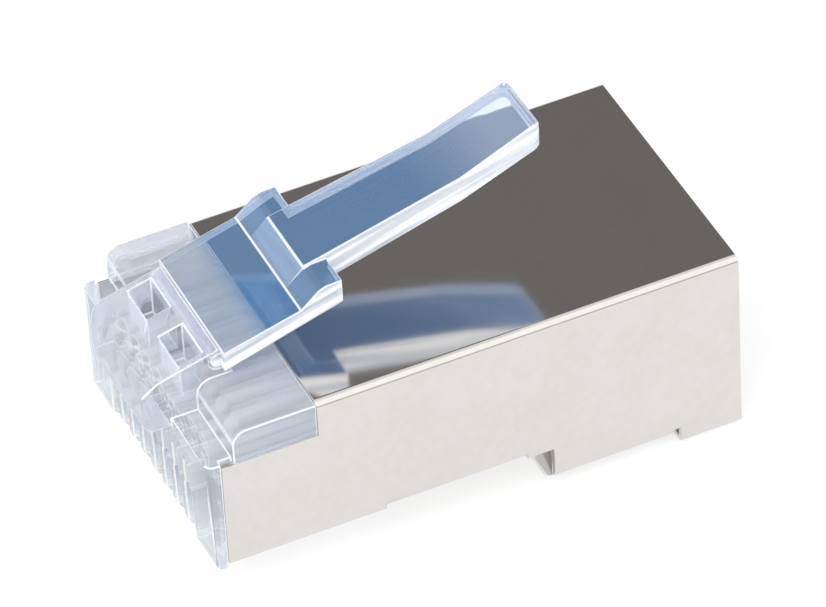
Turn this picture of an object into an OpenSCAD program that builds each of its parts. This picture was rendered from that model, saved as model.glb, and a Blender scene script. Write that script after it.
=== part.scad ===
// Shielded eight-position modular plug: a clear polycarbonate housing with a sprung latch,
// eight blade contacts and a folded nickel-plated shield.
// X runs across the plug, Y from the nose to the cable end, Z up to the latch side.
// Sizes are measured from the foremost point of the nose and from the lowest face of the shield.

/* [Overall] */
// Width of the plug over the shield
plug_w = 11.7; // [11.6:0.1:12.2]
// Length from the tip of the latch post to the rear edge of the shield
plug_l = 22.8; // [22.4:0.1:25]
// Height from the lowest face of the shield to its top wall
body_h = 8.3; // [8.3:0.1:8.8]

/* [Shield] */
// Thickness of the shield's sheet
sheet_t = 0.25; // [0.2:0.01:0.3]
// Outer radius of the shield's bends
bend_r = 0.35; // [0.35:0.05:0.6]
// Where the side walls start
side_front = 1.6; // [1.55:0.05:1.8]
// Where the top wall starts
top_front = 5.5; // [5.2:0.1:6]
// Drop from the top wall to the side walls' top edge in front of it
step_drop = 1.55; // [1.45:0.05:1.7]
// Where the floor flaps start, behind the contacts
floor_front = 8; // [7.6:0.1:9]
// Height of the floor's front part
front_floor_z = 2; // [1.95:0.05:2.2]
// Height of the floor's middle part, round the cable
middle_floor_z = 0.5; // [0.35:0.05:0.8]
// Where the floor drops to its middle part
ramp_y = 13.85; // [13.5:0.05:14.2]
// Length of that drop
ramp_l = 1.1; // [0.9:0.05:1.3]
// Inner radius of the bends in that drop
drop_r = 0.2; // [0.1:0.05:0.25]
// Length of the rear band, the lowest part of the floor
band_l = 2.55; // [2.2:0.05:3]
// Width of the slit that parts the rear band's flaps from the others
notch_l = 0.35; // [0.3:0.05:0.5]
// Height of that slit's ends in the side walls
notch_h = 0.35; // [0.3:0.05:0.6]
// Gap between the two floor flaps
seam_gap = 0.12; // [0.1:0.01:0.2]
// Width of the window for the crimp bar
window_w = 6.6; // [6:0.1:7.4]
// Length of the window for the crimp bar
window_l = 2.6; // [2.4:0.1:3]

/* [Housing] */
// Gap between the housing and the shield
shell_gap = 0.02; // [0.01:0.01:0.04]
// Height of the nose's contact side
contact_side_z = 1.8; // [1.7:0.05:1.9]
// Drop from the shield's top to the land beside the latch post
land_drop = 1.35; // [1.2:0.05:1.4]
// Distance from the tip of the latch post to the front of the nose
nose_y = 1; // [0.8:0.05:1.1]
// Where the shoulders start
shoulder_y = 2.1; // [2:0.05:2.4]
// How far the nose's front leans back over its height
nose_draft = 0.12; // [0:0.01:0.2]
// Radius of the lower front edge between the contacts
nose_r = 0.65; // [0.4:0.05:0.8]
// Radius of the lower front edge of the nose's side walls
wall_edge_r = 0.25; // [0.2:0.05:0.4]
// Radius of the nose's upright front edges
nose_corner_r = 0.35; // [0.2:0.05:0.5]
// Radius of the shoulders' front edge
shoulder_r = 0.6; // [0.4:0.05:0.7]
// Drop of the shoulders' top below the shield's top
shoulder_drop = 0.05; // [0.02:0.01:0.1]
// Wall of the housing round the cable space
wall_t = 0.6; // [0.5:0.05:0.8]
// Radius of the housing's long edges inside the shield's bends
liner_r = 0.15; // [0.15:0.05:0.3]
// How far the housing stops ahead of the shield's rear edge
rear_gap = 0.4; // [0.3:0.05:0.6]

/* [Contacts and wires] */
// Number of contacts
contact_count = 8; // [8]
// Distance between contacts
contact_pitch = 1.02; // [1:0.01:1.04]
// Width of a contact slot at the nose
slot_w = 0.58; // [0.5:0.01:0.62]
// Height of a contact slot's top at the nose
slot_top_z = 4.3; // [4:0.1:4.6]
// Length of a contact slot
slot_l = 4.6; // [4.4:0.1:4.8]
// Thickness of a contact blade
blade_t = 0.32; // [0.28:0.01:0.36]
// Length of a contact blade
blade_l = 3.3; // [3.1:0.1:3.5]
// Depth of the blade's edge below the contact side
blade_depth = 0.45; // [0.35:0.05:0.6]
// Gap from the blade's body to its slot on each side
blade_gap = 0.02; // [0.01:0.01:0.04]
// Distance from the nose's front to the blade
blade_inset = 0.75; // [0.7:0.05:0.9]
// Diameter of a wire channel
channel_d = 0.92; // [0.86:0.01:0.94]
// Height of the wire channels' centres
channel_z = 5.5; // [5.4:0.05:5.6]
// Thickness of the nose's wall ahead of the wire channels
channel_wall = 0.8; // [0.6:0.05:1]
// Where the wire channels open into the cable space
channel_end_y = 9.2; // [9:0.1:9.8]
// Length over which the cable space narrows to the wire channels
funnel_l = 2; // [1.6:0.1:2.4]

/* [Latch] */
// Width of the latch up to its shoulders
latch_w = 6; // [5.9:0.05:6.1]
// Width of the lever behind the shoulders
lever_w = 3.2; // [3:0.05:3.3]
// Width of the lever's tip
tip_w = 2.8; // [2.6:0.05:3]
// Thickness of the latch at its root
root_t = 0.82; // [0.78:0.01:0.84]
// Thickness of the plate ahead of the ramp
plate_t = 0.7; // [0.65:0.01:0.76]
// Thickness of the lever where it leaves the shoulders
lever_root_t = 1.17; // [1.1:0.01:1.2]
// Thickness of the lever where it turns up
lever_t = 1.08; // [1:0.01:1.12]
// Thickness of the lever at its tip
tip_t = 1.14; // [1:0.01:1.2]
// Rise of the underside of the latch's plate in degrees
rise = 16.5; // [16:0.5:18]
// Rise of the underside of the lever in degrees
lever_rise = 14.3; // [14:0.1:15]
// Extra rise of the lever's rear part in degrees
kick = 6.5; // [6:0.5:8]
// Where the ramp up to the latch's shoulders starts
catch_y = 6.3; // [6.2:0.05:6.5]
// Length of that ramp
catch_l = 0.75; // [0.7:0.05:0.9]
// Where the shoulders end
catch_end_y = 8; // [7.9:0.05:8.3]
// Step from the shoulders up to the lever
lever_step = 0.2; // [0.15:0.01:0.25]
// Where the lever turns up
kick_y = 13.6; // [13:0.1:14]
// Where the lever ends
tip_y = 17; // [16.5:0.1:17.2]
// Radius of the lever's top rear edge
tip_r = 0.25; // [0.15:0.05:0.4]
// Radius of the lever's rear corners
tip_corner_r = 0.35; // [0.2:0.05:0.5]

/* [Latch post] */
// Width of the post that carries the latch
post_w = 5.3; // [5.2:0.05:5.5]
// Height of the middle of the latch's root above the shield's top
root_rise = 0.75; // [0.75:0.01:0.8]
// Radius of the knuckle that the latch turns about
knuckle_r = 0.33; // [0.31:0.01:0.34]
// Drop of the hinge axis below the middle of the latch's root
axis_drop = 0.09; // [0.08:0.01:0.1]
// Where the hinge axis lies
hinge_y = 3.05; // [3:0.01:3.1]
// Gap between the latch's knuckle and the post
hinge_gap = 0.05; // [0.04:0.01:0.06]
// How far the post's lip reaches behind the hinge axis
lip_reach = 0.03; // [0.02:0.01:0.04]
// Drop from the land to the post's overhanging lower edge
foot_drop = 0.35; // [0.2:0.05:0.4]
// Radius of the post's top front edge
post_r = 1; // [0.8:0.05:1.2]
// Radius of the post's upright front edges
post_corner_r = 0.4; // [0.3:0.05:0.8]
// Width of each pocket in the post
pocket_w = 1.8; // [1.5:0.05:1.85]
// Length of each pocket
pocket_l = 0.95; // [0.8:0.05:1]
// Depth of each pocket
pocket_d = 1.3; // [1:0.1:1.5]
// Distance from the middle to each pocket's centre
pocket_x = 1.45; // [1.35:0.05:1.6]
// Wall between the pockets and the hinge
pocket_wall = 0.15; // [0.15:0.01:0.2]

/* [Hidden] */
$fn = 48;
e = 0.02;
half_w = plug_w / 2;
step_z = body_h - step_drop;
land_z = body_h - land_drop;
root_z = body_h + root_rise;
hinge_z = root_z - axis_drop;
post_foot_z = land_z - foot_drop;
inner_half = half_w - sheet_t - shell_gap;
roof_z = body_h - sheet_t - shell_gap;
shoulder_z = body_h - shoulder_drop;
middle_y = ramp_y + ramp_l;
band_y = plug_l - band_l;
notch_y = band_y - notch_l;
bottom_z = front_floor_z + sheet_t + shell_gap;
rear_bottom_z = middle_floor_z + sheet_t + shell_gap;
rear_y = plug_l - rear_gap;
nose_lip_end = side_front - shell_gap;
window_y = (middle_y + notch_y) / 2;
blade_y = nose_y + blade_inset;
root_r = root_t / 2;
foot_y = hinge_y + root_r * sin(rise);
foot_z = root_z - root_r * cos(rise);
root_top = root_z + root_r / cos(rise);
lip_y = hinge_y + lip_reach;
plate_y = lip_y + hinge_gap;
plate_end_top = under(catch_y) + plate_t / cos(rise);
plate_slope = atan2(plate_end_top - root_top, catch_y - hinge_y);
ramp_end_y = catch_y + catch_l;
catch_low = foot_z + (catch_end_y - foot_y) * tan(rise);
kick_top = under(kick_y) + lever_t / cos(lever_rise);
tip_low = under(kick_y) + (tip_y - kick_y) * tan(lever_rise + kick);
tip_top = tip_low + tip_t / cos(lever_rise + kick);
tip_slope = atan2(tip_top - kick_top, tip_y - kick_y);
catch_top = lever_top(catch_end_y) - lever_step;
seat_z = hinge_z - knuckle_r - hinge_gap;
pocket_y = hinge_y - knuckle_r - hinge_gap - pocket_wall - pocket_l;
bar_gap = 0.2;
bar_hinge_t = 0.25;
catch_round = 0.3;
tine_h = 0.55;
tine_count = 3;
tine_edge = 0.3;
blade_r = 0.5;
blade_reach = 0.1;
over = 1;
gusset_x = half_w - 2 * sheet_t;
gusset_end_y = middle_y + sheet_t / 2;
contact_names = ["contact_1", "contact_2", "contact_3", "contact_4",
                 "contact_5", "contact_6", "contact_7", "contact_8"];

// Points of an arc from one angle to another
function arc(centre, r, from, to, steps = 8) =
    [for (i = [0:steps]) centre + r * [cos(from + (to - from) * i / steps), sin(from + (to - from) * i / steps)]];

// Height of the latch's underside at y, up to where the lever turns
function under(y) =
    y < catch_end_y ? foot_z + (y - foot_y) * tan(rise) : catch_low + (y - catch_end_y) * tan(lever_rise);

// Height at y of the top line that the post and the latch's plate share
function root_line(y) = root_top + (y - hinge_y) * tan(plate_slope);

// Height of the lever's top at y, between the shoulders and where it turns
function lever_top(y) =
    let (front = catch_low + lever_root_t / cos(rise))
    front + (kick_top - front) * (y - catch_end_y) / (kick_y - catch_end_y);

// The place across the plug of contact number i, counted from 0
function contact_x(i) = (i - (contact_count - 1) / 2) * contact_pitch;

// A side profile drawn in (Y, Z), extruded across the plug and centred on x
module across(width, x = 0) {
    translate([x - width / 2, 0, 0])
        rotate([90, 0, 90])
            linear_extrude(width)
                children();
}

// A cross-section drawn in (X, Z), extruded from y0 to y1
module along(y0, y1) {
    translate([0, y1, 0])
        rotate([90, 0, 0])
            linear_extrude(y1 - y0)
                children();
}

// A block between two corners
module block(low, high) {
    translate(low)
        cube(high - low);
}

// A rectangle with round corners, from its low to its high corner
module round_rect(low, high, r) {
    translate([low[0], low[1] + r])
        square([high[0] - low[0], high[1] - low[1] - 2 * r]);
    translate([low[0] + r, low[1]])
        square([high[0] - low[0] - 2 * r, high[1] - low[1]]);
    for (x = [low[0] + r, high[0] - r], z = [low[1] + r, high[1] - r])
        translate([x, z])
            circle(r);
}

// One length of the folded shield with its floor at the height floor_z
module shield_length(y0, y1, floor_z) {
    along(y0, y1)
        difference() {
            round_rect([-half_w, floor_z], [half_w, body_h], bend_r);
            round_rect([-half_w + sheet_t, floor_z + sheet_t],
                       [half_w - sheet_t, body_h - sheet_t], bend_r - sheet_t);
        }
}

// Both side walls alone, between two heights
module side_walls(y0, y1, z0, z1) {
    for (side = [-1, 1])
        block([side > 0 ? half_w - sheet_t : -half_w, y0, z0],
              [side > 0 ? half_w : -half_w + sheet_t, y1, z1]);
}

// The line of the floor's drop at a distance above its underside: a bend down, a straight and a bend back
function drop_line(above) =
    let (low = drop_r - above + sheet_t, high = drop_r + above,
         rise_between = middle_floor_z + drop_r + sheet_t - (front_floor_z - drop_r),
         slope = atan2(-rise_between, ramp_l) + asin((2 * drop_r + sheet_t) / norm([ramp_l, rise_between])))
    concat(arc([ramp_y, front_floor_z - drop_r], high, 90, 90 - slope),
           arc([middle_y, middle_floor_z + drop_r + sheet_t], low, 270 - slope, 270));

module floor_drop() {
    line = drop_line(sheet_t);
    across(plug_w - 2 * bend_r)
        polygon(concat(drop_line(0), [for (i = [len(line) - 1:-1:0]) line[i]]));
}

// The two gussets that close the sides of that drop, just inside the side walls
module gussets() {
    for (side = [-1, 1])
        across(sheet_t + e, side * (gusset_x + (sheet_t + e) / 2))
            polygon(concat(drop_line(0), [[gusset_end_y, middle_floor_z],
                [gusset_end_y, front_floor_z + sheet_t], [ramp_y, front_floor_z + sheet_t]]));
}

// The shield: one folded sheet with its two floor flaps meeting in the middle
module shield() {
    color([0.82, 0.81, 0.79])
        difference() {
            union() {
                side_walls(side_front, top_front, front_floor_z, step_z);
                along(top_front, floor_front)
                    shield_roof(front_floor_z);
                shield_length(floor_front, ramp_y, front_floor_z);
                along(ramp_y, middle_y)
                    shield_roof(front_floor_z);
                floor_drop();
                gussets();
                shield_length(middle_y, notch_y, middle_floor_z);
                along(notch_y, band_y)
                    shield_roof(middle_floor_z + notch_h);
                shield_length(band_y, plug_l, 0);
            }
            block([-seam_gap / 2, floor_front - e, -e],
                  [seam_gap / 2, plug_l + e, front_floor_z + sheet_t + e]);
            block([-window_w / 2, window_y - window_l / 2, middle_floor_z - e],
                  [window_w / 2, window_y + window_l / 2, middle_floor_z + sheet_t + e]);
        }
}

// The cross-section of the shield with no floor: the top wall and the side walls down to z0
module shield_roof(z0) {
    difference() {
        round_rect([-half_w, 0], [half_w, body_h], bend_r);
        round_rect([-half_w + sheet_t, -sheet_t], [half_w - sheet_t, body_h - sheet_t], bend_r - sheet_t);
        translate([-half_w - e, -e])
            square([plug_w + 2 * e, z0 + e]);
    }
}

// Side profile of the nose, from its front to the shoulders, with a lower front edge of radius r
module nose_profile(r) {
    end_y = shoulder_y + over;
    front = nose_y + nose_draft * (land_z - contact_side_z - r) / (land_z - contact_side_z);
    polygon(concat(
        arc([front + r, contact_side_z + r], r, 180, 270),
        [[end_y, contact_side_z], [end_y, land_z], [nose_y, land_z]]
    ));
}

// The nose: its middle with the contacts, its side walls and their lips ahead of the shield
module nose() {
    wall_x = contact_x(contact_count - 1);
    intersection() {
        union() {
            across(2 * inner_half)
                nose_profile(nose_r);
            for (side = [-1, 1]) {
                across(inner_half - wall_x, side * (inner_half + wall_x) / 2)
                    nose_profile(wall_edge_r);
                across(half_w - wall_x, side * (half_w + wall_x) / 2)
                    intersection() {
                        nose_profile(wall_edge_r);
                        square([nose_lip_end, body_h]);
                    }
            }
        }
        linear_extrude(body_h)
            round_rect([-half_w, nose_y], [half_w, plug_l], nose_corner_r);
    }
}

// Side profile of the shoulders
module shoulder_profile(z0, end_y) {
    polygon(concat(
        [[shoulder_y, z0], [end_y, z0], [end_y, shoulder_z]],
        arc([shoulder_y + shoulder_r, shoulder_z - shoulder_r], shoulder_r, 90, 180)
    ));
}

// Side profile of the housing inside the shield
module body_profile() {
    polygon(concat(
        [[shoulder_y, contact_side_z], [floor_front - shell_gap, contact_side_z], [floor_front - shell_gap, bottom_z]],
        drop_line(sheet_t + shell_gap),
        [[rear_y, rear_bottom_z], [rear_y, roof_z], [top_front - over, roof_z], [top_front - over, land_z],
         [shoulder_y, land_z]]
    ));
}

// The lengths of the shield's inside that the housing fills, with round long edges
module body_lengths() {
    for (length = [[shoulder_y, floor_front - shell_gap, contact_side_z],
                   [floor_front - shell_gap, ramp_y, bottom_z],
                   [ramp_y, rear_y, rear_bottom_z]])
        along(length[0], length[1])
            round_rect([-inner_half, length[2]], [inner_half, roof_z], liner_r);
}

// Side profile of the post that carries the latch
module post_profile() {
    front_top = root_line(post_r);
    rear = hinge_y + root_r + hinge_gap;
    polygon(concat(
        [[0, post_foot_z]],
        arc([post_r, front_top - post_r / cos(plate_slope)], post_r, 180, 90 + plate_slope),
        [[lip_y, root_line(lip_y)], [lip_y, seat_z], [rear, seat_z], [rear, land_z - over],
         [nose_y + over, land_z - over], [nose_y + nose_draft, post_foot_z]]
    ));
}

// The post with its round upright front edges and its seat for the latch's knuckle
module post() {
    difference() {
        intersection() {
            across(post_w)
                post_profile();
            translate([0, 0, land_z - over])
                linear_extrude(body_h)
                    round_rect([-post_w / 2, 0], [post_w / 2, 2 * body_h], post_corner_r);
        }
        across(post_w + over)
            translate([hinge_y, hinge_z])
                circle(knuckle_r + hinge_gap);
    }
}

// The two pockets in the post's top, which keep its walls even
module pocket_cuts() {
    for (side = [-1, 1])
        translate([side * pocket_x - pocket_w / 2, pocket_y, hinge_z - pocket_d])
            cube([pocket_w, pocket_l, 2 * pocket_d]);
}

// The slots, blade seats and wire channels, cut for one contact at x
module contact_cut(x) {
    front = nose_y - over;
    low = contact_side_z - over;
    block([x - slot_w / 2, front, low], [x + slot_w / 2, blade_y, slot_top_z]);
    block([x - blade_t / 2 - blade_gap, front, low],
          [x + blade_t / 2 + blade_gap, nose_y + slot_l, channel_z]);
    block([x - slot_w / 2, blade_y - e, low],
          [x + slot_w / 2, nose_y + slot_l, contact_side_z + blade_depth]);
    translate([x, nose_y + channel_wall, channel_z])
        rotate([-90, 0, 0])
            cylinder(h = channel_end_y - nose_y - channel_wall + over / 2, d = channel_d);
}

// Side profile of the cable space, narrowing towards the wire channels
module cable_space_profile() {
    low_z = bottom_z + wall_t;
    rear_low_z = rear_bottom_z + wall_t;
    high_z = roof_z - wall_t;
    wide_y = channel_end_y + funnel_l;
    polygon([[channel_end_y, channel_z - channel_d / 2], [wide_y, low_z],
             [ramp_y + wall_t, low_z], [middle_y + wall_t, rear_low_z],
             [plug_l + over, rear_low_z], [plug_l + over, high_z],
             [wide_y, high_z], [channel_end_y, channel_z + channel_d / 2]]);
}

// The slot round the crimp bar, which stays joined to the floor along its front edge
module crimp_bar_cut() {
    y0 = window_y - window_l / 2 + bar_gap;
    y1 = window_y + window_l / 2 - bar_gap;
    x1 = window_w / 2 - bar_gap;
    floor_top = rear_bottom_z + wall_t + e;
    for (side = [-1, 1])
        block([side > 0 ? x1 - bar_gap : -x1, y0, rear_bottom_z - e],
              [side > 0 ? x1 : -x1 + bar_gap, y1, floor_top]);
    block([-x1, y1 - bar_gap, rear_bottom_z - e], [x1, y1, floor_top]);
    block([-x1, y0, rear_bottom_z + bar_hinge_t], [x1, y0 + bar_gap, floor_top]);
}

// The room that the housing leaves for the shield's gussets
module gusset_cuts() {
    x = gusset_x - shell_gap;
    for (side = [-1, 1])
        block([side > 0 ? x : -half_w, ramp_y - shell_gap, 0],
              [side > 0 ? half_w : -x, gusset_end_y + shell_gap, bottom_z]);
}

// The clear housing
module housing() {
    color([0.85, 0.89, 0.94, 0.5])
        difference() {
            union() {
                nose();
                intersection() {
                    across(2 * inner_half)
                        body_profile();
                    body_lengths();
                }
                across(plug_w)
                    shoulder_profile(step_z + shell_gap, top_front - shell_gap);
                post();
            }
            for (i = [0:contact_count - 1])
                contact_cut(contact_x(i));
            across(2 * (inner_half - wall_t))
                cable_space_profile();
            crimp_bar_cut();
            gusset_cuts();
            pocket_cuts();
        }
}

// Side profile of the latch: its underside, and a top line given from the tip to the ramp's foot
module latch_profile(top) {
    polygon(concat(
        [[plate_y, foot_z], [foot_y, foot_z], [catch_end_y, catch_low], [kick_y, under(kick_y)], [tip_y, tip_low]],
        top,
        [[catch_y, plate_end_top], [plate_y, root_line(plate_y)]]
    ));
}

// The latch: a plate with two shoulders that catch in the jack, and the lever behind it
module latch_lever() {
    tip_centre = [tip_y - tip_r, tip_top - tip_r * tan(tip_slope) - tip_r / cos(tip_slope)];
    color([0.88, 0.92, 0.97, 0.6]) {
        across(post_w)
            translate([hinge_y, hinge_z])
                circle(knuckle_r);
        intersection() {
            across(latch_w)
                latch_profile([[tip_y, catch_top], [catch_end_y, catch_top],
                               [ramp_end_y + catch_round, catch_top - catch_round / 10],
                               [ramp_end_y, catch_top - catch_round / 2]]);
            block([-latch_w, 0, 0], [latch_w, catch_end_y, 3 * body_h]);
        }
        intersection() {
            across(latch_w)
                latch_profile(concat(
                    arc(tip_centre, tip_r, 0, 90 + tip_slope),
                    [[kick_y, kick_top], [ramp_end_y, lever_top(ramp_end_y)]]));
            linear_extrude(3 * body_h)
                polygon(concat(
                    [[-lever_w / 2, 0], [lever_w / 2, 0], [lever_w / 2, catch_end_y]],
                    arc([tip_w / 2 - tip_corner_r, tip_y - tip_corner_r], tip_corner_r, 0, 90),
                    arc([tip_corner_r - tip_w / 2, tip_y - tip_corner_r], tip_corner_r, 90, 180),
                    [[-lever_w / 2, catch_end_y]]));
        }
    }
}

// One contact blade: a stamped plate with a round contact nose and pointed tines for the wire
module contact(i) {
    low = contact_side_z + blade_depth;
    high = channel_z - channel_d / 2 + blade_reach;
    pitch = blade_l / tine_count;
    color([0.85, 0.8, 0.62])
        across(blade_t, contact_x(i))
            translate([blade_y, 0])
                polygon(concat(
                    arc([blade_r, low + blade_r], blade_r, 180, 270),
                    [[blade_l, low], [blade_l, high]],
                    [for (k = [tine_count - 1:-1:0], p = [[1 - tine_edge, tine_h], [tine_edge, tine_h], [0, 0]])
                        [(k + p[0]) * pitch, high + p[1]]]
                ));
}

// Puts a piece in the plug's own frame, with the origin under the middle of its box
module in_frame() {
    translate([0, -plug_l / 2, 0])
        children();
}

in_frame() housing();
in_frame() latch_lever();
in_frame() shield();
for (i = [0:contact_count - 1])
    in_frame() contact(i);
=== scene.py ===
"""The looks of a shielded modular plug: a clear moulded housing with a sprung latch, eight contact
blades, and a folded nickel-plated shield. Lengths are in metres and angles in radians."""

import math

import bmesh
import bpy
import numpy as np
from mathutils import Matrix, Vector


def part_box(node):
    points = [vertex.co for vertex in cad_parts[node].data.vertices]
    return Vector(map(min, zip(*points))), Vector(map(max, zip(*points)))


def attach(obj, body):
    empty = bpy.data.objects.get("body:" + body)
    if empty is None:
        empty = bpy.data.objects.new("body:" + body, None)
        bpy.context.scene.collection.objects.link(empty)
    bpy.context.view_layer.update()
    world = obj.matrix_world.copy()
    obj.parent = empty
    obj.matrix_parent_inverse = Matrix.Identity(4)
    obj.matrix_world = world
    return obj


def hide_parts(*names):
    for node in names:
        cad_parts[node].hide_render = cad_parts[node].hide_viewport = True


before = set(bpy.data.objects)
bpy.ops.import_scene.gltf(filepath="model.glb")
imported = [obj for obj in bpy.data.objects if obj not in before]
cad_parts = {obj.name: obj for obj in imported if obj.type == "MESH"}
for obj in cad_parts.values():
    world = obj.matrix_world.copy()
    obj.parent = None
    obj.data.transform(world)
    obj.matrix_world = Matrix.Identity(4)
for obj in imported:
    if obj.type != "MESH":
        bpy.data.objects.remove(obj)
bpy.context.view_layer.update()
scene = bpy.context.scene
MM = 0.001

# The camera looks down on the latch from the plug's right, with the nose at the left of the picture.
# It stands well back with a long lens, and it is tipped a little, so that the plug leans to the left.
VIEW_AZIMUTH = math.radians(67.2)
VIEW_ELEVATION = math.radians(41.45)
VIEW_ROLL = math.radians(-3.42)
VIEW_DISTANCE = 279.2 * MM
VIEW_TARGET = Vector((-1.41, 1.21, 4.6)) * MM
LENS_MM = 321.6
SENSOR_MM = 36


def viewing_matrix(azimuth, elevation, roll, distance, target):
    """A camera at a distance from the target, turned about its own line of sight by roll."""
    back = Vector((
        math.sin(azimuth) * math.cos(elevation),
        -math.cos(azimuth) * math.cos(elevation),
        math.sin(elevation),
    ))
    turn = back.to_track_quat("Z", "Y").to_matrix().to_4x4()
    return Matrix.Translation(target + back * distance) @ turn @ Matrix.Rotation(roll, 4, "Z")


camera_data = bpy.data.cameras.new("camera")
camera_data.lens = LENS_MM
camera_data.sensor_width = SENSOR_MM
camera_data.clip_start = 10 * MM
camera_data.clip_end = 10
camera = bpy.data.objects.new("camera", camera_data)
camera.matrix_world = viewing_matrix(
    VIEW_AZIMUTH, VIEW_ELEVATION, VIEW_ROLL, VIEW_DISTANCE, VIEW_TARGET
)
scene.collection.objects.link(camera)
scene.camera = camera

# The studio is white all round, with one dark opening at the far side of the table, and a dim strip low
# down on the near side. The shield's top mirrors the opening, and its bend mirrors the strip.
# Everything else is lit by plain soft white light from all round.


def linear(hex_colour):
    """An sRGB colour such as 'dce3ea' as linear red, green, blue and alpha 1."""
    shares = [int(hex_colour[i:i + 2], 16) / 255 for i in (0, 2, 4)]
    return tuple(
        s / 12.92 if s <= 0.04045 else ((s + 0.055) / 1.055) ** 2.4 for s in shares
    ) + (1.0,)


def add(tree, kind, inputs=None, **settings):
    """Adds a node with its settings. inputs gives each socket a value, or an output to link it to."""
    node = tree.nodes.new(kind)
    for name, value in settings.items():
        setattr(node, name, value)
    for name, value in (inputs or {}).items():
        if isinstance(value, bpy.types.NodeSocket):
            tree.links.new(value, node.inputs[name])
        else:
            node.inputs[name].default_value = value
    return node


WALL_COLOUR = linear("ffffff")
OPENING_COLOUR = linear("797675")
STRIP_COLOUR = linear("d0ccc8")
OPENING_AZIMUTH = math.radians(-67.2)
OPENING_ELEVATION = math.radians(38)
OPENING_EDGE = math.radians(24)
OPENING_SOFTNESS = math.radians(5)
STRIP_LOW = 0.1
STRIP_HIGH = 0.3
STRIP_SOFTNESS = 0.05
STRIP_NEAR_START = 0.5
STRIP_NEAR_FULL = 0.8

world = bpy.data.worlds.new("studio")
world.use_nodes = True
tree = world.node_tree
tree.nodes.clear()
direction = add(tree, "ShaderNodeTexCoord").outputs["Generated"]
opening = (
    math.sin(OPENING_AZIMUTH) * math.cos(OPENING_ELEVATION),
    math.cos(OPENING_AZIMUTH) * math.cos(OPENING_ELEVATION),
    math.sin(OPENING_ELEVATION),
)
towards = add(
    tree, "ShaderNodeVectorMath", {0: direction, 1: opening}, operation="DOT_PRODUCT"
).outputs["Value"]
inside = add(tree, "ShaderNodeMapRange", {
    "Value": towards,
    "From Min": math.cos(OPENING_EDGE + OPENING_SOFTNESS),
    "From Max": math.cos(OPENING_EDGE - OPENING_SOFTNESS),
}, interpolation_type="SMOOTHSTEP").outputs["Result"]
heading = add(tree, "ShaderNodeSeparateXYZ", {0: direction})
above_low = add(tree, "ShaderNodeMapRange", {
    "Value": heading.outputs["Z"],
    "From Min": STRIP_LOW - STRIP_SOFTNESS,
    "From Max": STRIP_LOW + STRIP_SOFTNESS,
}, interpolation_type="SMOOTHSTEP").outputs["Result"]
below_high = add(tree, "ShaderNodeMapRange", {
    "Value": heading.outputs["Z"],
    "From Min": STRIP_HIGH + STRIP_SOFTNESS,
    "From Max": STRIP_HIGH - STRIP_SOFTNESS,
}, interpolation_type="SMOOTHSTEP").outputs["Result"]
near_side = add(tree, "ShaderNodeMapRange", {
    "Value": heading.outputs["X"], "From Min": STRIP_NEAR_START, "From Max": STRIP_NEAR_FULL,
}, interpolation_type="SMOOTHSTEP").outputs["Result"]
band = add(
    tree, "ShaderNodeMath", {0: above_low, 1: below_high}, operation="MULTIPLY"
).outputs[0]
strip = add(tree, "ShaderNodeMath", {0: band, 1: near_side}, operation="MULTIPLY").outputs[0]
walls = add(
    tree, "ShaderNodeMix", {0: strip, 6: WALL_COLOUR, 7: STRIP_COLOUR}, data_type="RGBA"
).outputs[2]
around = add(
    tree, "ShaderNodeMix", {0: inside, 6: walls, 7: OPENING_COLOUR}, data_type="RGBA"
).outputs[2]
path = add(tree, "ShaderNodeLightPath")
mirrored = add(
    tree, "ShaderNodeMath",
    {0: path.outputs["Is Glossy Ray"], 1: path.outputs["Is Transmission Ray"]},
    operation="MAXIMUM",
).outputs[0]
white = add(tree, "ShaderNodeBackground", {"Color": WALL_COLOUR, "Strength": 1.0}).outputs[0]
studio = add(tree, "ShaderNodeBackground", {"Color": around, "Strength": 1.0}).outputs[0]
by_mirror = add(tree, "ShaderNodeMixShader", {0: mirrored, 1: white, 2: studio}).outputs[0]
by_eye = add(
    tree, "ShaderNodeMixShader", {0: path.outputs["Is Camera Ray"], 1: by_mirror, 2: white}
).outputs[0]
add(tree, "ShaderNodeOutputWorld", {"Surface": by_eye})
scene.world = world

# Two square lamps with soft boxes stand on the camera's side and point at the plug. The key lamp, in
# front, lights the clear plastic, and the fill lamp, towards the cable end, softens its shadow.
KEY_PLACE = (0.25, -0.3, 0.45)
KEY_SIZE = 0.3
KEY_WATTS = 1.7
FILL_PLACE = (0.3, 0.145, 0.37)
FILL_SIZE = 0.5
FILL_WATTS = 0.28


def lamp(name, place, size, watts):
    """A square lamp at a place that points at the frame's origin, where the plug is."""
    data = bpy.data.lights.new(name, "AREA")
    data.shape = "SQUARE"
    data.size = size
    data.energy = watts
    lamp_object = bpy.data.objects.new(name, data)
    aim = (-Vector(place)).to_track_quat("-Z", "Y").to_matrix().to_4x4()
    lamp_object.matrix_world = Matrix.Translation(Vector(place)) @ aim
    scene.collection.objects.link(lamp_object)


lamp("key_lamp", KEY_PLACE, KEY_SIZE, KEY_WATTS)
lamp("fill_lamp", FILL_PLACE, FILL_SIZE, FILL_WATTS)

# The table is a white sheet lit from below, at the height of the shield's lowest face. Most of its
# white is that light, and the rest is paint that takes the plug's faint shadow.
TABLE_GLOW = 0.7
TABLE_PAINT = linear("969696")
TABLE_REACH = 3.0


def finish_named(name):
    """A new empty material and its node tree."""
    material = bpy.data.materials.new(name)
    material.use_nodes = True
    material.node_tree.nodes.clear()
    return material, material.node_tree


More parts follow.
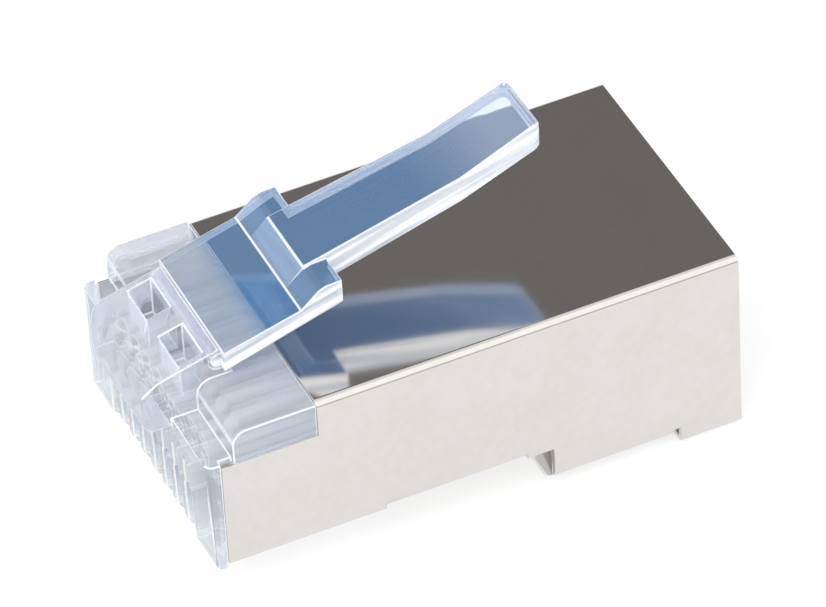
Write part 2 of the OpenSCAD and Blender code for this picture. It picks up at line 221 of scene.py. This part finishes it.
table_finish, tree = finish_named("matt white sheet")
glow = add(tree, "ShaderNodeEmission", {"Color": WALL_COLOUR, "Strength": TABLE_GLOW}).outputs[0]
painted = add(tree, "ShaderNodeBsdfDiffuse", {"Color": TABLE_PAINT}).outputs[0]
sheet = add(tree, "ShaderNodeAddShader", {0: glow, 1: painted}).outputs[0]
add(tree, "ShaderNodeOutputMaterial", {"Surface": sheet})

corners = np.array([(-1, -1, 0), (1, -1, 0), (1, 1, 0), (-1, 1, 0)], float) * TABLE_REACH
table_mesh = bpy.data.meshes.new("table")
table_mesh.from_pydata(corners.tolist(), [], [(0, 1, 2, 3)])
table_mesh.materials.append(table_finish)
table = bpy.data.objects.new("table", table_mesh)
scene.collection.objects.link(table)

# The housing is one clear polycarbonate moulding. The mould polishes its outer faces, so the wire
# channels and contact slots show through them. The cores leave its inner faces unpolished, so those
# look white. Its edges come out of the mould slightly round and carry a painted white highlight.
HOUSING_EDGE = 0.05 * MM
HOUSING_EDGE_STEPS = 2
JOIN_DISTANCE = 0.004 * MM
FLAT_ANGLE = math.radians(0.5)
SHARP_ANGLE = math.radians(25)
NARROW_ANGLE = math.radians(40)
STRAIGHT_ANGLE = math.radians(150)
SHORTEST_NEIGHBOUR = 1.2


def weigh_edges(work, radius):
    """Gives each sharp edge the weight 1 where a rounding of that radius has room, and 0 elsewhere. It
    has none where another sharp edge leaves its end at a narrow angle, nor where an edge shorter than
    the rounding turns off there."""
    weight = work.edges.layers.float.new("bevel_weight_edge")
    sharp = {e for e in work.edges if len(e.link_faces) == 2 and e.calc_face_angle() > SHARP_ANGLE}
    for edge in sharp:
        room = True
        for corner in edge.verts:
            way = edge.other_vert(corner).co - corner.co
            for other in corner.link_edges:
                if other is edge:
                    continue
                turn = way.angle(other.other_vert(corner).co - corner.co)
                if other in sharp and turn < NARROW_ANGLE:
                    room = False
                if other.calc_length() < SHORTEST_NEIGHBOUR * radius and turn < STRAIGHT_ANGLE:
                    room = False
        edge[weight] = 1.0 if room else 0.0


def rounded_copy(node_name, piece_name, body_name, radius, steps, *finishes):
    """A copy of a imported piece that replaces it, with its flat faces joined up and its sharp edges
    rounded. The second of its finishes is the edges'."""
    work = bmesh.new()
    work.from_mesh(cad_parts[node_name].data)
    bmesh.ops.remove_doubles(work, verts=work.verts, dist=JOIN_DISTANCE)
    bmesh.ops.dissolve_limit(work, angle_limit=FLAT_ANGLE, verts=work.verts, edges=work.edges)
    weigh_edges(work, radius)
    mesh = bpy.data.meshes.new(piece_name)
    work.to_mesh(mesh)
    work.free()
    mesh.polygons.foreach_set("use_smooth", [True] * len(mesh.polygons))
    mesh.materials.clear()
    for finish in finishes:
        mesh.materials.append(finish)
    piece = bpy.data.objects.new(piece_name, mesh)
    scene.collection.objects.link(piece)
    rounding = piece.modifiers.new("rounding", "BEVEL")
    rounding.width = radius
    rounding.segments = steps
    rounding.limit_method = "WEIGHT"
    rounding.use_clamp_overlap = False
    rounding.harden_normals = True
    if len(finishes) > 1:
        rounding.material = 1
    evening = piece.modifiers.new("evening", "WEIGHTED_NORMAL")
    evening.keep_sharp = True
    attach(piece, body_name)
    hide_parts(node_name)
    return piece


# Polycarbonate is clear and bends light strongly. Slow waves from the flow of the melt make what shows
# through it wander a little. Where a face isn't polished it scatters light too, mostly back.
PLASTIC_IOR = 1.586
FLOW_SIZE = 1.6 * MM
FLOW_DEPTH = 0.02 * MM
FLOW_STRENGTH = 0.25
BACK_SHARE = 0.85


def finish_plastic(tree, tint, roughness, haze, colour, unbent_share=0.0):
    """Clear plastic on an empty tree. Its surface scatters one share of the light, the haze, in a colour,
    and passes the rest in its tint, a share of that without bending it. Haze and colour are values or
    outputs."""
    place = add(tree, "ShaderNodeTexCoord").outputs["Object"]
    flow = add(
        tree, "ShaderNodeTexNoise", {"Vector": place, "Scale": 1 / FLOW_SIZE, "Detail": 2.0}
    ).outputs["Fac"]
    waves = add(
        tree, "ShaderNodeBump", {"Height": flow, "Strength": FLOW_STRENGTH, "Distance": FLOW_DEPTH}
    ).outputs["Normal"]
    passed = add(tree, "ShaderNodeBsdfPrincipled", {
        "Base Color": tint,
        "Roughness": roughness,
        "IOR": PLASTIC_IOR,
        "Transmission Weight": 1.0,
        "Normal": waves,
    }).outputs[0]
    if unbent_share:
        unbent = add(tree, "ShaderNodeBsdfTransparent", {"Color": tint}).outputs[0]
        passed = add(tree, "ShaderNodeMixShader", {0: unbent_share, 1: passed, 2: unbent}).outputs[0]
    through = add(tree, "ShaderNodeBsdfTranslucent", {"Color": colour}).outputs[0]
    back = add(tree, "ShaderNodeBsdfDiffuse", {"Color": colour}).outputs[0]
    scattered = add(tree, "ShaderNodeMixShader", {0: BACK_SHARE, 1: through, 2: back}).outputs[0]
    whole = add(tree, "ShaderNodeMixShader", {0: haze, 1: passed, 2: scattered}).outputs[0]
    add(tree, "ShaderNodeOutputMaterial", {"Surface": whole})


UPRIGHT_TILT = 0.5
LEVEL_TILT = 0.8


def upward_part(tree):
    """How far a face looks up: 1 straight up, 0 sideways, -1 straight down. Light that is inside the
    plastic meets a face from behind, which turns it over."""
    normal = add(tree, "ShaderNodeNewGeometry").outputs["True Normal"]
    return add(tree, "ShaderNodeSeparateXYZ", {0: normal}).outputs["Z"]


def level_part(tree, upward):
    """1 on a face that lies level, whichever way up, and 0 on an upright one."""
    tilt = add(tree, "ShaderNodeMath", {0: upward}, operation="ABSOLUTE").outputs[0]
    return add(
        tree, "ShaderNodeMapRange", {"Value": tilt, "From Min": UPRIGHT_TILT, "From Max": LEVEL_TILT}
    ).outputs["Result"]


# The skin of the housing is polished, with a faint blue haze. Nearly half of the light goes through
# the housing unbent, or its many faces would trap it and look darker than the real ones.
UNBENT_SHARE = 0.45
SKIN_TINT = linear("f6faff")
SKIN_ROUGHNESS = 0.05
SKIN_COLOUR = linear("f4f8ff")
SKIN_UPRIGHT_HAZE = 0.18
SKIN_LEVEL_HAZE = 0.2

skin, tree = finish_named("polished clear polycarbonate of the housing")
skin_haze = add(tree, "ShaderNodeMix", {
    0: level_part(tree, upward_part(tree)), 2: SKIN_UPRIGHT_HAZE, 3: SKIN_LEVEL_HAZE,
}).outputs[0]
finish_plastic(tree, SKIN_TINT, SKIN_ROUGHNESS, skin_haze, SKIN_COLOUR, UNBENT_SHARE)

# The inside of the housing is unpolished, so its ribs and channels are whitish and soft.
INSIDE_TINT = linear("f8fbff")
INSIDE_ROUGHNESS = 0.2
INSIDE_UPRIGHT_COLOUR = linear("f8fbff")
INSIDE_LEVEL_COLOUR = linear("f9fcff")
INSIDE_UPRIGHT_HAZE = 0.5
INSIDE_LEVEL_HAZE = 0.72

unpolished, tree = finish_named("unpolished clear polycarbonate")
level = level_part(tree, upward_part(tree))
inside_haze = add(
    tree, "ShaderNodeMix", {0: level, 2: INSIDE_UPRIGHT_HAZE, 3: INSIDE_LEVEL_HAZE}
).outputs[0]
inside_colour = add(
    tree, "ShaderNodeMix", {0: level, 6: INSIDE_UPRIGHT_COLOUR, 7: INSIDE_LEVEL_COLOUR},
    data_type="RGBA",
).outputs[2]
finish_plastic(tree, INSIDE_TINT, INSIDE_ROUGHNESS, inside_haze, inside_colour, UNBENT_SHARE)

# A rounded edge gathers light from all round and shows as a thin white line. Here that line is a
# painted highlight, a heavy white haze on the rounded faces.
EDGE_TINT = linear("ffffff")
EDGE_PAINTED_WHITE = linear("fdfeff")
EDGE_ROUGHNESS = 0.3
EDGE_PAINTED_HAZE = 0.7

edge_painted_highlight, tree = finish_named("clear polycarbonate at an edge, painted highlight")
finish_plastic(tree, EDGE_TINT, EDGE_ROUGHNESS, EDGE_PAINTED_HAZE, EDGE_PAINTED_WHITE)

# A face is inside the housing where its middle is well behind the skin.
INSIDE_HALF_WIDTH = 5.2 * MM
INSIDE_FLOOR = 0.9 * MM
INSIDE_ROOF = 7.9 * MM
INSIDE_FRONT = -9.3 * MM

housing = rounded_copy(
    "housing", "clear_housing", "plug_body", HOUSING_EDGE, HOUSING_EDGE_STEPS,
    skin, edge_painted_highlight, unpolished,
)
for face in housing.data.polygons:
    x, y, z = face.center
    if abs(x) < INSIDE_HALF_WIDTH and INSIDE_FLOOR < z < INSIDE_ROOF and y > INSIDE_FRONT:
        face.material_index = 2

# The latch is moulded with the housing and bends at its root: a plate with two shoulders, and the
# lever behind it. Its upright faces are painted white by a heavy haze, a painted highlight, with
# streaks along the plug. Its level faces are polished and have a blue haze, painted blue where the
# dark shield shows through and painted pale at the root, where the white housing shows through, and
# at the lever's tip. Its underside gets its own painted blue and haze, painted light for its mirror
# image in the shield.
LATCH_EDGE = 0.045 * MM
LATCH_EDGE_STEPS = 3
LATCH_TINT = linear("ffffff")
LATCH_ROUGHNESS = 0.02
LATCH_BLUE = linear("409fe4")
LATCH_ROOT_PAINTED_PALE = linear("c0cfe2")
LATCH_TIP_PAINTED_PALE = linear("b4d4ff")
LATCH_UNDER_PAINTED_BLUE = linear("6ea8e8")
LATCH_UPRIGHT_PAINTED_WHITE = linear("fdfeff")
ROOT_PAINTED_PALE_UNTIL = -7.0 * MM
ROOT_PAINTED_BLUE_FROM = -6.4 * MM
TIP_PAINTED_BLUE_UNTIL = 1.0 * MM
TIP_PAINTED_PALE_FROM = 4.0 * MM
LATCH_LEVEL_HAZE = 0.2
LATCH_UNDER_PAINTED_HAZE = 0.42
LATCH_UPRIGHT_PAINTED_HAZE = 0.68
STREAK_HAZE = 0.28
STREAK_SIZE = 0.3 * MM
STREAK_STRETCH = 25.0
STREAK_SLOPE = math.radians(15)
STREAK_DARK = 0.4
STREAK_LIGHT = 0.6
UNDER_START = -0.6
UNDER_FULL = -0.8

polished, tree = finish_named("polished clear polycarbonate of the latch")
place = add(tree, "ShaderNodeTexCoord").outputs["Object"]
along = add(tree, "ShaderNodeSeparateXYZ", {0: place}).outputs["Y"]
# The plate is painted pale at its root, where the white housing shows through, painted blue over the dark
# shield, and painted pale again at the lever's tip.
past_painted_root = add(
    tree, "ShaderNodeMapRange",
    {"Value": along, "From Min": ROOT_PAINTED_PALE_UNTIL, "From Max": ROOT_PAINTED_BLUE_FROM},
).outputs["Result"]
near_painted_tip = add(
    tree, "ShaderNodeMapRange",
    {"Value": along, "From Min": TIP_PAINTED_BLUE_UNTIL, "From Max": TIP_PAINTED_PALE_FROM},
).outputs["Result"]
plate_painted_see_through = add(
    tree, "ShaderNodeMix", {0: past_painted_root, 6: LATCH_ROOT_PAINTED_PALE, 7: LATCH_BLUE}, data_type="RGBA"
).outputs[2]
level_painted_see_through = add(
    tree, "ShaderNodeMix", {0: near_painted_tip, 6: plate_painted_see_through, 7: LATCH_TIP_PAINTED_PALE}, data_type="RGBA"
).outputs[2]
drawn = add(tree, "ShaderNodeMapping", {
    "Vector": place,
    "Rotation": (STREAK_SLOPE, 0.0, 0.0),
    "Scale": (STREAK_STRETCH, STREAK_STRETCH, 1.0),
}, vector_type="TEXTURE").outputs[0]
streak = add(
    tree, "ShaderNodeTexNoise", {"Vector": drawn, "Scale": 1 / STREAK_SIZE, "Detail": 1.0}
).outputs["Fac"]
# Upright faces are painted white by a heavy haze, a painted highlight, with streaks in it.
upright_painted_haze = add(tree, "ShaderNodeMapRange", {
    "Value": streak,
    "From Min": STREAK_DARK,
    "From Max": STREAK_LIGHT,
    "To Min": LATCH_UPRIGHT_PAINTED_HAZE - STREAK_HAZE,
    "To Max": LATCH_UPRIGHT_PAINTED_HAZE + STREAK_HAZE,
}).outputs["Result"]
upward = upward_part(tree)
level = level_part(tree, upward)
# Faces that look down get their own painted blue and haze, painted light for the latch's mirror image in
# the shield.
under = add(
    tree, "ShaderNodeMapRange",
    {"Value": upward, "From Min": UNDER_START, "From Max": UNDER_FULL},
).outputs["Result"]
painted_by_facing = add(
    tree, "ShaderNodeMix", {0: level, 6: LATCH_UPRIGHT_PAINTED_WHITE, 7: level_painted_see_through}, data_type="RGBA"
).outputs[2]
latch_painted_colour = add(
    tree, "ShaderNodeMix", {0: under, 6: painted_by_facing, 7: LATCH_UNDER_PAINTED_BLUE}, data_type="RGBA"
).outputs[2]
painted_haze_by_facing = add(tree, "ShaderNodeMix", {0: level, 2: upright_painted_haze, 3: LATCH_LEVEL_HAZE}).outputs[0]
latch_painted_haze = add(tree, "ShaderNodeMix", {0: under, 2: painted_haze_by_facing, 3: LATCH_UNDER_PAINTED_HAZE}).outputs[0]
finish_plastic(tree, LATCH_TINT, LATCH_ROUGHNESS, latch_painted_haze, latch_painted_colour)

latch = rounded_copy(
    "latch_lever", "clear_latch", "latch", LATCH_EDGE, LATCH_EDGE_STEPS, polished, edge_painted_highlight
)

# The shield is folded from nickel-plated brass sheet. Rolling leaves it faintly brushed along the
# plug, and the plating is satin bright, so it mirrors the latch with a soft edge. Its white is a
# little uneven, in clouds with a fine grain on them.
SHIELD_EDGE = 0.03 * MM
SHIELD_EDGE_STEPS = 2
NICKEL_COLOUR = linear("dad6d2")
NICKEL_DULL = linear("d6d3ce")
NICKEL_ROUGHNESS = 0.11
SMOOTHEST = 0.8
ROUGHEST = 1.3
LINE_WIDTH = 0.12 * MM
LINE_LENGTH = 2.0 * MM
LINE_DEPTH = 0.002 * MM
LINE_STRENGTH = 0.2
CLOUD_SIZE = 2.5 * MM
GRAIN_SIZE = 0.35 * MM
DULL_PATCH = 0.75
BRIGHT_PATCH = 1.25

nickel, tree = finish_named("satin nickel plating")
place = add(tree, "ShaderNodeTexCoord").outputs["Object"]
rolled = add(
    tree, "ShaderNodeMapping", {"Vector": place, "Scale": (1.0, LINE_WIDTH / LINE_LENGTH, 1.0)}
).outputs[0]
lines = add(
    tree, "ShaderNodeTexNoise", {"Vector": rolled, "Scale": 1 / LINE_WIDTH, "Detail": 3.0}
).outputs["Fac"]
cloud = add(
    tree, "ShaderNodeTexNoise", {"Vector": place, "Scale": 1 / CLOUD_SIZE, "Detail": 3.0}
).outputs["Fac"]
grain = add(
    tree, "ShaderNodeTexNoise", {"Vector": place, "Scale": 1 / GRAIN_SIZE, "Detail": 4.0}
).outputs["Fac"]
roughness = add(tree, "ShaderNodeMapRange", {
    "Value": cloud,
    "To Min": NICKEL_ROUGHNESS * SMOOTHEST,
    "To Max": NICKEL_ROUGHNESS * ROUGHEST,
}).outputs["Result"]
brushed = add(
    tree, "ShaderNodeBump", {"Height": lines, "Strength": LINE_STRENGTH, "Distance": LINE_DEPTH}
).outputs["Normal"]
patch = add(tree, "ShaderNodeMath", {0: cloud, 1: grain}, operation="ADD").outputs[0]
brightness = add(
    tree, "ShaderNodeMapRange", {"Value": patch, "From Min": DULL_PATCH, "From Max": BRIGHT_PATCH}
).outputs["Result"]
plating = add(
    tree, "ShaderNodeMix", {0: brightness, 6: NICKEL_DULL, 7: NICKEL_COLOUR}, data_type="RGBA"
).outputs[2]
metal = add(tree, "ShaderNodeBsdfPrincipled", {
    "Base Color": plating,
    "Metallic": 1.0,
    "Roughness": roughness,
    "Normal": brushed,
}).outputs[0]
add(tree, "ShaderNodeOutputMaterial", {"Surface": metal})

shield = rounded_copy(
    "shield", "folded_shield", "plug_body", SHIELD_EDGE, SHIELD_EDGE_STEPS, nickel
)

# The contact blades are stamped from phosphor bronze, plated with nickel, and with gold along the
# edge that touches the jack's springs. They stay as packed, and only get their finish.
CONTACT_COUNT = 8
BLADE_NICKEL = linear("cfc9bd")
BLADE_GOLD = linear("d9b25a")
BLADE_ROUGHNESS = 0.22
GOLD_HEIGHT = 0.7 * MM
GOLD_FADE = 0.1 * MM

blade_metal, tree = finish_named("nickel and gold plated bronze")
gold_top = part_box("contact_1")[0].z + GOLD_HEIGHT
place = add(tree, "ShaderNodeTexCoord").outputs["Object"]
height = add(tree, "ShaderNodeSeparateXYZ", {0: place}).outputs["Z"]
above_gold = add(
    tree, "ShaderNodeMapRange",
    {"Value": height, "From Min": gold_top, "From Max": gold_top + GOLD_FADE},
).outputs["Result"]
plating = add(
    tree, "ShaderNodeMix", {0: above_gold, 6: BLADE_GOLD, 7: BLADE_NICKEL}, data_type="RGBA"
).outputs[2]
metal = add(tree, "ShaderNodeBsdfPrincipled", {
    "Base Color": plating,
    "Metallic": 1.0,
    "Roughness": BLADE_ROUGHNESS,
}).outputs[0]
add(tree, "ShaderNodeOutputMaterial", {"Surface": metal})
for number in range(1, CONTACT_COUNT + 1):
    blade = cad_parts[f"contact_{number}"]
    blade.data.materials.clear()
    blade.data.materials.append(blade_metal)

# Light passes the clear plastic's faces many times before it leaves, so its paths may be long.
scene.cycles.max_bounces = 32
scene.cycles.transmission_bounces = 32
scene.cycles.transparent_max_bounces = 32
scene.cycles.diffuse_bounces = 24
scene.cycles.glossy_bounces = 16
scene.view_settings.view_transform = "Standard"
